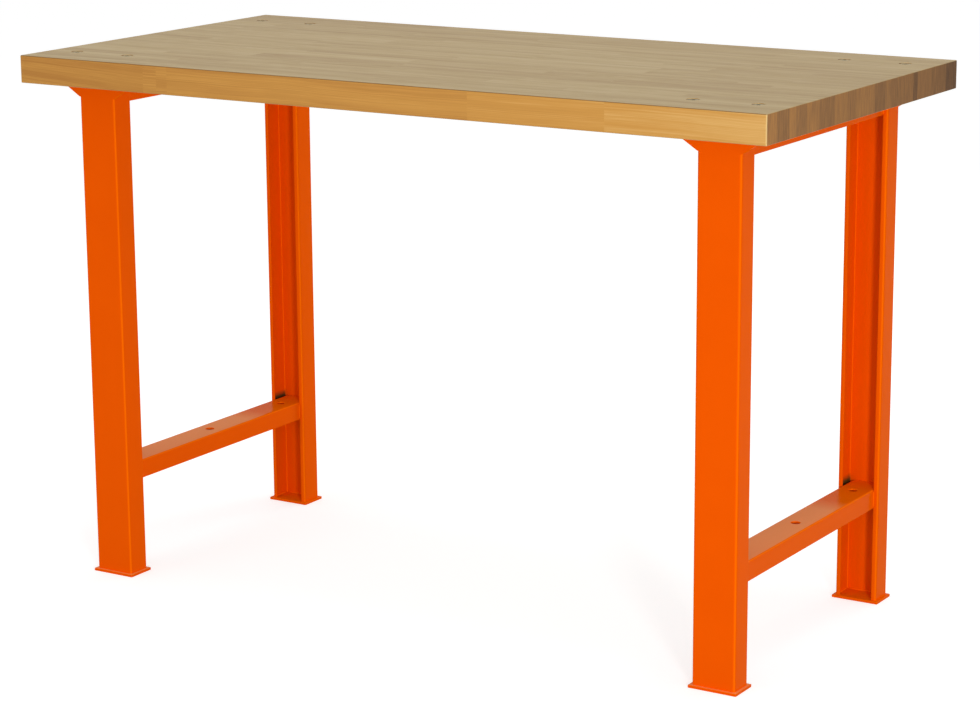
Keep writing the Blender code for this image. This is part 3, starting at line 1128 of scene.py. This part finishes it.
@dataclass
class Welds:
    """The weld beads of one end frame, painted over with the rest."""

    STEEP: ClassVar[float] = 0.9

    wardrobe: Wardrobe
    side: Side
    radius: float = 0.0021
    head_radius: float = 0.0016
    ripple: float = 0.10
    ripple_pitch: float = 0.0032
    rows_per_ripple: int = 6
    end_reach: float = 0.998
    section_points: int = 12
    rail_inset: Span = (0.002, 0.003)
    web_inset: float = 0.008
    flange_inset: Span = (0.004, 0.002)
    skirt_inset: float = 0.004
    plate_inset: Span = (0.006, 0.004)
    beads: list[Surface] = field(default_factory=list)

    def bead(self, start: Sequence[float], stop: Sequence[float], radius: float) -> None:
        """Lays one straight bead.

        A circle is carried from start to stop. At distance s its radius is r * (1 + ripple * sin of
        s over the pitch), drawn in to nothing at both ends as the root of 1 - t ** 6, for t from -1 to 1.

        Args:
            start: The bead's first point.
            stop: Its last point.
            radius: Its radius.
        """
        first, last = np.asarray(start, float), np.asarray(stop, float)
        length = float(np.linalg.norm(last - first))
        way = (last - first) / length
        aside = np.cross(way, UP if abs(way[2]) < self.STEEP else ALONG)
        aside /= np.linalg.norm(aside)
        other = np.cross(way, aside)
        rows = int(length / self.ripple_pitch * self.rows_per_ripple)
        t = np.linspace(-self.end_reach, self.end_reach, rows)
        wave = 1 + self.ripple * np.sin(2 * math.pi * (t + 1) / 2 * length / self.ripple_pitch)
        girth = radius * wave * np.sqrt(1 - t**6)
        angle = np.linspace(0, 2 * math.pi, self.section_points, endpoint=False)
        circle = np.cos(angle)[:, None] * aside + np.sin(angle)[:, None] * other
        middle = first + (t[:, None] + 1) / 2 * (last - first)
        self.beads.append(Surface.lofted(middle[:, None] + girth[:, None, None] * circle))

    def lay_rail(self, name: str) -> None:
        """Lays an upright bead on either side of a rail, where it passes each post's lips.

        Args:
            name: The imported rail's name.
        """
        low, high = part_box(name)
        foot, head = low.z + self.rail_inset[0], high.z - self.rail_inset[1]
        for end in End:
            _, y = faces_of(node_name(end, self.side, "post"), end)
            for x in (low.x, high.x):
                self.bead((x, y, foot), (x, y, head), self.radius)

    def lay_foot(self, end: End) -> None:
        """Lays beads inside a post, along its web and both flanges, on the foot plate.

        Args:
            end: The post's end of the frame.
        """
        post = node_name(end, self.side, "post")
        low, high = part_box(post)
        outer, inner = faces_of(post, end)
        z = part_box(node_name(end, self.side, "foot_plate"))[1].z
        wall = Post.sheet.thickness
        web = outer - end.value * wall
        mouth = inner + end.value * wall
        self.bead((low.x + self.web_inset, web, z), (high.x - self.web_inset, web, z), self.radius)
        start, stop = web - end.value * self.flange_inset[0], mouth + end.value * self.flange_inset[1]
        for x in (low.x + wall, high.x - wall):
            self.bead((x, start, z), (x, stop, z), self.radius)

    def lay_head(self, end: End) -> None:
        """Lays beads where the bracket's skirt and plate meet the post's flanges.

        Args:
            end: The post's end of the frame.
        """
        post = node_name(end, self.side, "post")
        low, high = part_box(post)
        skirt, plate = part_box(node_name(end, self.side, "top_bracket"))
        outer, inner = faces_of(post, end)
        wall = HeadBracket.sheet.thickness
        back = outer - end.value * wall
        under = plate.z - wall
        start, stop = back - end.value * self.plate_inset[0], inner + end.value * self.plate_inset[1]
        for x in (low.x, high.x):
            self.bead((x, back, skirt.z + self.skirt_inset), (x, back, under - wall), self.head_radius)
            self.bead((x, start, under), (x, stop, under), self.head_radius)

    def build(self) -> None:
        """Lays every bead of the end frame and dresses them as one piece."""
        for rail in ("stretcher", "top_rail"):
            self.lay_rail(node_name(self.side, rail))
        for end in End:
            self.lay_foot(end)
            self.lay_head(end)
        piece = Surface.joined(self.beads).piece(node_name(self.side, "welds"))
        self.wardrobe.dress(piece, Slot.ORANGE)


@dataclass(frozen=True)
class BoltSizes:
    """The sizes of a bolt and its nut that their boxes don't give."""

    shank: float = 0.005
    land: float = 0.001
    socket: float = 0.0030
    socket_depth: float = 0.0035
    chamfer: float = 0.0003
    thread_pitch: float = 0.0015
    thread_depth: float = 0.0007
    thread_length: float = 0.020
    nut_circle: float = 0.96


@dataclass
class Fastening(Fitting):
    """A countersunk bolt, with its washer and nut under the bracket's ear."""

    ear: Ear
    sizes: BoltSizes = BoltSizes()
    rows_per_thread: int = 10

    def bolt(self, low: float, high: float, head: float) -> Surface:
        """The bolt: threaded shank, cone, land and a head with a hexagon socket.

        Along the thread the radius falls from the shank's by the depth times a triangle wave of
        height over pitch less the angle over a full turn, so the ridge climbs one pitch a turn. The
        wave fades over the first and the last pitch, and the tip is a depth narrower than the shank.

        Args:
            low: The height of the bolt's end.
            high: The height of its head's face.
            head: The head's radius.

        Returns:
            The bolt, on the Z axis.
        """
        s = self.sizes
        rows = int(s.thread_length / s.thread_pitch * self.rows_per_thread)
        height = np.linspace(low, low + s.thread_length, rows)
        phase = (height[:, None] / s.thread_pitch - ROUND / (2 * math.pi)) % 1.0
        run_in = np.clip((height - low) / s.thread_pitch, 0, 1)
        run_out = np.clip((low + s.thread_length - height) / s.thread_pitch, 0, 1)
        fade = np.minimum(run_in, run_out)[:, None]
        point = s.thread_depth * (1 - run_in)[:, None]
        thread = s.shank - s.thread_depth * np.abs(2 * phase - 1) * fade - point
        land = high - s.land
        rings = [
            (s.shank, land - (head - s.shank)),
            (head, land),
            (head, high - s.chamfer),
            (head - s.chamfer, high),
        ]
        radius, level = (around(part) for part in np.array(rings).T)
        socket = hexagon_radius(s.socket)
        mouth = np.stack([socket + s.chamfer, socket, socket])
        down = around([high, high - s.chamfer, high - s.socket_depth])
        return polar(np.concatenate([thread, radius, mouth]), np.concatenate([around(height), level, down]))

    def washer(self, low: float, high: float, outer: float) -> Surface:
        """The washer: a rounded rectangle from its bore to its outer radius, turned about the axis."""
        bore, edge = self.sizes.shank + self.sizes.chamfer, self.sizes.chamfer
        return turned(rounded_rectangle((bore, low), (outer, high), edge).points, ring_shut=True)

    def nut(self, low: float, high: float, apothem: float) -> Surface:
        """The nut: a hexagon prism whose corners are cut by a cone at either face.

        Beyond the chamfer circle, a point at radius r lies (r - circle) * tan 30 degrees in from the face.

        Args:
            low: The height of its lower face.
            high: The height of its upper face.
            apothem: Half its width over two flats.

        Returns:
            The nut, on the Z axis.
        """
        bore = self.sizes.shank
        mouth = self.sizes.chamfer * 2
        circle = apothem * self.sizes.nut_circle
        side = hexagon_radius(apothem)[None]
        fall = (side - circle) * math.tan(math.pi / 6)
        radius = np.concatenate([around([bore, bore + mouth, circle]), side])
        inset = np.concatenate([around([mouth, 0.0, 0.0]), fall])
        level = np.concatenate([low + inset, high - inset[::-1]])
        return polar(np.concatenate([radius, radius[::-1]]), level, ring_shut=True)

    def build(self) -> None:
        """Makes bolt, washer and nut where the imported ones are, and dresses them."""
        kinds = {
            "bolt": (self.bolt, Slot.DARK_STEEL),
            "washer": (self.washer, Slot.ZINC),
            "nut": (self.nut, Slot.ZINC),
        }
        for kind, (shape, slot) in kinds.items():
            name = self.node(self.ear, kind)
            low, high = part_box(name)
            surface = shape(low.z, high.z, min(high.x - low.x, high.y - low.y) / 2)
            middle = (low + high) / 2
            piece = surface.moved((middle.x, middle.y, 0.0)).piece(f"{name}_turned")
            self.wardrobe.dress(piece, slot, name)


@dataclass
class EndFrame:
    """One welded end frame and the fasteners that hold the worktop to it."""

    wardrobe: Wardrobe
    side: Side
    hole_from_post: float = 0.020

    def build(self) -> None:
        """Builds posts, feet, brackets, rails, welds and fasteners."""
        for end in End:
            Post(self.wardrobe, self.side, end).build()
            FootPlate(self.wardrobe, self.side, end).build()
            HeadBracket(self.wardrobe, self.side, end).build()
            for ear in Ear:
                Fastening(self.wardrobe, self.side, end, ear).build()
        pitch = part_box(node_name(End.REAR, self.side, "post"))[0].y - self.hole_from_post
        CrossRail(self.wardrobe, node_name(self.side, "stretcher"), (-pitch, 0.0, pitch)).build()
        CrossRail(self.wardrobe, node_name(self.side, "top_rail")).build()
        Welds(self.wardrobe, self.side).build()


# The studio


@dataclass(frozen=True)
class Softbox:
    """A rectangular lamp, aimed at a point, which neither the camera nor a reflection shows."""

    name: str
    place: Triple
    target: Triple
    size: Span
    power: float

    def build(self) -> None:
        """Hangs the lamp."""
        data = bpy.data.lights.new(self.name, "AREA")
        data.shape = "RECTANGLE"
        data.size, data.size_y = self.size
        data.energy = self.power
        lamp = bpy.data.objects.new(self.name, data)
        aim = Vector(self.target) - Vector(self.place)
        lamp.location = self.place
        lamp.rotation_euler = aim.to_track_quat("-Z", "Y").to_euler()
        lamp.visible_camera = False
        lamp.visible_glossy = False
        bpy.context.scene.collection.objects.link(lamp)


@dataclass
class Studio:
    """A white sweep with soft light, and the camera that took the picture."""

    camera_place: Triple = (2.6595, -4.2608, 1.6144)
    yaw: float = -0.5557
    pitch: float = -0.2291
    roll: float = -0.0065
    focal_pixels: float = 2826.8
    image_width: int = 980
    sensor: float = 36.0
    ambient: float = 0.56
    background: float = 1.0
    floor_size: float = 60.0
    floor_colour: Triple = (0.60, 0.60, 0.60)
    floor_glow: float = 0.66
    lamps: tuple[Softbox, ...] = (
        Softbox("key", (4.4, -4.8, 1.28), (0.0, 0.0, 0.6), (0.7, 0.6), 188.0),
        Softbox("fill", (-3.0, -7.0, 1.2), (0.0, 0.0, 0.6), (2.5, 2.0), 60.0),
        Softbox("back", (1.0, 4.0, 0.7), (-0.6, 0.0, 0.5), (1.2, 0.9), 48.0),
        Softbox("overhead", (0.0, 0.0, 4.0), (0.0, 0.0, 0.0), (3.0, 2.0), 27.0),
    )

    def add_camera(self) -> None:
        """Sets up the camera from its place, its turns and its focal length in pixels."""
        data = bpy.data.cameras.new("camera")
        data.sensor_width = self.sensor
        data.lens = self.focal_pixels * self.sensor / self.image_width
        forward = Vector((
            math.sin(self.yaw) * math.cos(self.pitch),
            math.cos(self.yaw) * math.cos(self.pitch),
            math.sin(self.pitch),
        ))
        right = Vector((math.cos(self.yaw), -math.sin(self.yaw), 0.0))
        level = Matrix((right, right.cross(forward), -forward)).transposed()
        turn = level @ Matrix.Rotation(self.roll, 3, "Z")
        camera = bpy.data.objects.new("camera", data)
        camera.matrix_world = Matrix.Translation(self.camera_place) @ turn.to_4x4()
        bpy.context.scene.collection.objects.link(camera)
        bpy.context.scene.camera = camera

    def add_world(self) -> None:
        """Lights the scene evenly, and shows a white background."""
        graph = Graph(bpy.data.worlds.new("white_sweep"))
        graph.tree.nodes.clear()
        light, white = (
            graph.add("Background", {"Color": WHITE, "Strength": strength}).outputs[0]
            for strength in (self.ambient, self.background)
        )
        mix = graph.add("MixShader", {0: graph.seen_directly(), 1: light, 2: white})
        graph.add("OutputWorld", {0: mix.outputs[0]})
        bpy.context.scene.world = graph.owner

    def add_floor(self) -> None:
        """Lays the pale floor, which takes the bench's shadow."""
        half = self.floor_size / 2
        corners = np.array([[-half, -half, 0], [half, -half, 0], [half, half, 0], [-half, half, 0]])
        floor = Surface(corners, [[0, 1, 2, 3]]).piece("floor")
        graph = Graph(bpy.data.materials.new("floor"))
        floor.data.materials.append(graph.shade(
            base_color=self.floor_colour,
            roughness=1.0,
            specular_ior_level=0.0,
            emission_color=WHITE,
            emission_strength=graph.math("MULTIPLY", graph.seen_directly(), self.floor_glow),
        ))

    def build(self) -> None:
        """Sets up camera, lamps, world and floor."""
        bpy.context.scene.view_settings.view_transform = "Standard"
        self.add_camera()
        self.add_world()
        self.add_floor()
        for lamp in self.lamps:
            lamp.build()


def main() -> None:
    """Builds the studio and the bench."""
    logging.basicConfig(level=logging.INFO, format="%(name)s: %(message)s")
    Studio().build()
    wardrobe = Wardrobe()
    Worktop(wardrobe).build()
    for side in Side:
        EndFrame(wardrobe, side).build()


if __name__ == "__main__":
    main()
